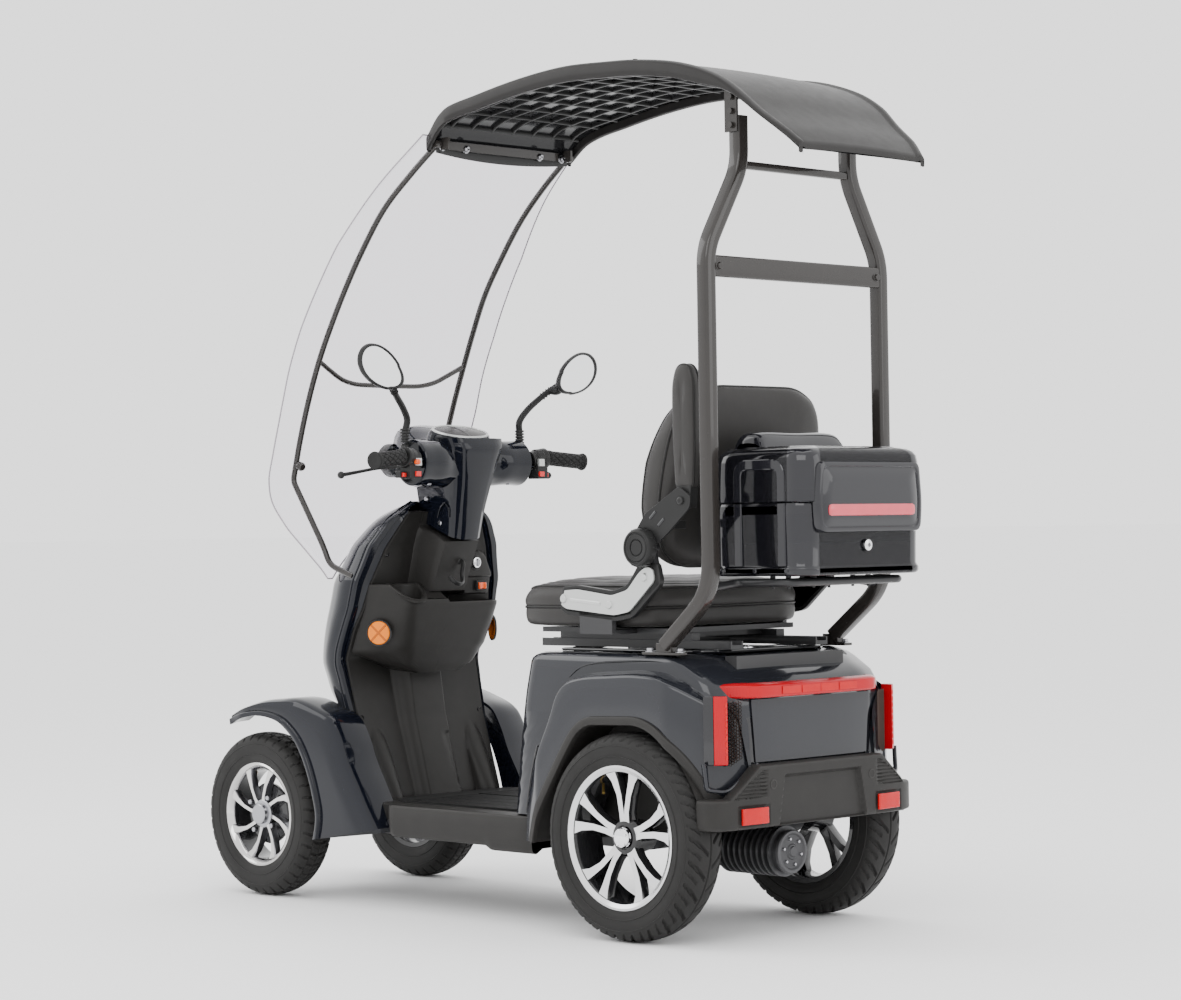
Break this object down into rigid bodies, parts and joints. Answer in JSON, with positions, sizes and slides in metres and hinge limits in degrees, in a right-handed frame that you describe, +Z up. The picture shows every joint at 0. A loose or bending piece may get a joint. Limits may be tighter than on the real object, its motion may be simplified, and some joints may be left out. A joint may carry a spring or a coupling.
{
  "type": "mobility scooter",
  "caption": "Four-wheeled electric mobility scooter with roof canopy, curved windshield, tiller steering, adjustable seat with folding armrests and rear luggage box.",
  "frame": {"origin": "centre of the footprint on the ground under the scooter", "axes": "+X forward, +Y to the rider's left, +Z up"},
  "size_m": [1.755, 0.7064, 1.745],
  "materials": {
    "frame_steel": "satin black powder coat",
    "post_paint": "satin dark brown-black paint",
    "hardware": "dark plated fasteners",
    "black_plastic": "fine-grained matte black moulding",
    "floor_rubber": "ribbed black mat",
    "gloss_front": "gloss midnight blue-black",
    "gloss_body": "gloss dark grey metallic",
    "gloss_black": "gloss black",
    "red_lens": "red translucent lens",
    "red_reflector": "red prismatic reflector",
    "amber_reflector": "amber prismatic reflector",
    "battery_case": "matte case",
    "cast_alloy": "dark cast alloy",
    "roof_plastic": "satin textured black",
    "display_glass": "smoked display window",
    "lamp_lens": "clear lamp lens",
    "control_black": "satin black controls",
    "grip_rubber": "diamond knurled rubber",
    "tyre": "treaded rubber",
    "chrome_rim": "polished chrome",
    "machined_rim": "machined faces on black",
    "seat_bracket": "silver painted",
    "upholstery": "grained leatherette with piping",
    "key_chrome": "chrome",
    "switch_orange": "orange-red gloss",
    "clear_sheet": "clear acrylic"
  },
  "bodies": {
    "chassis": {"main_frame": "frame_steel", "motor_transaxle": "cast_alloy", "shock_absorbers": "cast_alloy", "battery_pack": "battery_case", "floor_pan": "black_plastic", "floor_mat": "floor_rubber", "leg_shield": "black_plastic", "storage_pocket": "black_plastic", "front_cowl": "gloss_front", "front_fenders": "gloss_front", "rear_body": "gloss_body", "tail_lights": "red_lens", "rear_deck": "gloss_black", "arch_trims": "black_plastic", "rear_bumper": "black_plastic", "rear_reflectors": "red_reflector", "side_reflectors": "amber_reflector", "seat_rails": "frame_steel", "luggage_rack": "frame_steel", "luggage_box": "gloss_black", "canopy_post_left": "post_paint", "canopy_post_right": "post_paint", "canopy_crossbars": "post_paint", "roof_panel": "roof_plastic", "windshield": "clear_sheet", "windshield_frame": "post_paint", "canopy_fasteners": "hardware"},
    "steering": {"handlebar": "frame_steel", "column_cover": "gloss_front", "handlebar_cover": "gloss_front", "display": "display_glass", "headlight": "lamp_lens", "switch_pods": "control_black", "left_grip": "grip_rubber"},
    "throttle": {"throttle_grip": "grip_rubber"},
    "lever_left": {"brake_lever_left": "control_black"},
    "lever_right": {"brake_lever_right": "control_black"},
    "mirror_left": {"mirror_left": "control_black"},
    "mirror_right": {"mirror_right": "control_black"},
    "horn": {"horn_button": "switch_orange"},
    "knuckle_left": {"knuckle_left": "frame_steel"},
    "knuckle_right": {"knuckle_right": "frame_steel"},
    "tie_rod": {"tie_rod": "frame_steel"},
    "wheel_front_left": {"tyre_front_left": "tyre", "rim_front_left": "chrome_rim"},
    "wheel_front_right": {"tyre_front_right": "tyre", "rim_front_right": "chrome_rim"},
    "wheel_rear_left": {"tyre_rear_left": "tyre", "rim_rear_left": "machined_rim"},
    "wheel_rear_right": {"tyre_rear_right": "tyre", "rim_rear_right": "machined_rim"},
    "seat": {"seat_carriage": "frame_steel", "seat_base": "seat_bracket", "seat_cushion": "upholstery"},
    "backrest": {"backrest": "upholstery"},
    "armrest_left": {"armrest_left": "upholstery"},
    "armrest_right": {"armrest_right": "upholstery"},
    "lid": {"luggage_lid": "gloss_black"},
    "key": {"ignition_key": "key_chrome"},
    "rocker": {"rocker_switch": "switch_orange"}
  },
  "joints": [
    {"name": "steering_turn", "type": "hinge", "parent": "chassis", "child": "steering", "pos_m": [0.3405, 0, 0.8], "axis": [-0.3584, 0, 0.9336], "range_deg": [-35, 35]},
    {"name": "knuckle_left_turn", "type": "hinge", "parent": "chassis", "child": "knuckle_left", "pos_m": [0.6955, 0.186, 0.182], "axis": [0, 0, 1], "range_deg": [-28, 28]},
    {"name": "knuckle_right_turn", "type": "hinge", "parent": "chassis", "child": "knuckle_right", "pos_m": [0.6955, -0.186, 0.182], "axis": [0, 0, 1], "range_deg": [-28, 28]},
    {"name": "tie_rod_slide", "type": "slide", "parent": "chassis", "child": "tie_rod", "axis": [0, 1, 0], "range_m": [-0.035, 0.035]},
    {"name": "front_left_roll", "type": "hinge", "parent": "knuckle_left", "child": "wheel_front_left", "pos_m": [0.6955, 0.228, 0.182], "axis": [0, 1, 0], "continuous": true},
    {"name": "front_right_roll", "type": "hinge", "parent": "knuckle_right", "child": "wheel_front_right", "pos_m": [0.6955, -0.228, 0.182], "axis": [0, 1, 0], "continuous": true},
    {"name": "rear_left_roll", "type": "hinge", "parent": "chassis", "child": "wheel_rear_left", "pos_m": [-0.4815, 0.27, 0.205], "axis": [0, 1, 0], "continuous": true},
    {"name": "rear_right_roll", "type": "hinge", "parent": "chassis", "child": "wheel_rear_right", "pos_m": [-0.4815, -0.27, 0.205], "axis": [0, 1, 0], "continuous": true},
    {"name": "throttle_twist", "type": "hinge", "parent": "steering", "child": "throttle", "pos_m": [0.2465, -0.216, 0.969], "axis": [-0.1993, -0.9754, -0.0944], "range_deg": [0, 70], "stiffness_Nm_per_rad": 0.2, "springref_deg": -5.73},
    {"name": "brake_left_pull", "type": "hinge", "parent": "steering", "child": "lever_left", "pos_m": [0.2845, 0.188, 0.949], "axis": [0, 0, 1], "range_deg": [0, 18], "stiffness_Nm_per_rad": 1, "springref_deg": -8.59},
    {"name": "brake_right_pull", "type": "hinge", "parent": "steering", "child": "lever_right", "pos_m": [0.2845, -0.188, 0.949], "axis": [0, 0, -1], "range_deg": [0, 18], "stiffness_Nm_per_rad": 1, "springref_deg": -8.59},
    {"name": "mirror_left_turn", "type": "hinge", "parent": "steering", "child": "mirror_left", "pos_m": [0.2865, 0.172, 1], "axis": [0, 0, 1], "range_deg": [-20, 30]},
    {"name": "mirror_right_turn", "type": "hinge", "parent": "steering", "child": "mirror_right", "pos_m": [0.2865, -0.172, 1], "axis": [0, 0, 1], "range_deg": [-30, 20]},
    {"name": "horn_press", "type": "slide", "parent": "steering", "child": "horn", "axis": [1, 0, 0], "range_m": [0, 0.002], "stiffness_N_per_m": 300, "springref_m": -0.001},
    {"name": "seat_slide", "type": "slide", "parent": "chassis", "child": "seat", "axis": [1, 0, 0], "range_m": [0, 0.12]},
    {"name": "backrest_fold", "type": "hinge", "parent": "seat", "child": "backrest", "pos_m": [-0.5165, 0, 0.77], "axis": [0, 1, 0], "range_deg": [0, 40]},
    {"name": "armrest_left_lower", "type": "hinge", "parent": "backrest", "child": "armrest_left", "pos_m": [-0.6185, 0, 0.86], "axis": [0, 1, 0], "range_deg": [0, 88]},
    {"name": "armrest_right_raise", "type": "hinge", "parent": "backrest", "child": "armrest_right", "pos_m": [-0.6185, 0, 0.86], "axis": [0, 1, 0], "range_deg": [-88, 0]},
    {"name": "lid_open", "type": "hinge", "parent": "chassis", "child": "lid", "pos_m": [-0.6045, 0, 0.955], "axis": [0, 1, 0], "range_deg": [0, 60]},
    {"name": "key_turn", "type": "hinge", "parent": "chassis", "child": "key", "pos_m": [0.3405, -0.085, 0.737], "axis": [1, 0, 0], "range_deg": [0, 90]},
    {"name": "rocker_tip", "type": "hinge", "parent": "chassis", "child": "rocker", "pos_m": [0.3445, -0.101, 0.685], "axis": [0, 0, 1], "range_deg": [-5, 5]}
  ],
  "couplings": [
    {"joint": "knuckle_left_turn", "follows": "steering_turn", "ratio": 0.8},
    {"joint": "knuckle_right_turn", "follows": "steering_turn", "ratio": 0.8},
    {"joint": "tie_rod_slide", "follows": "steering_turn", "m_per_rad": -0.056}
  ]
}
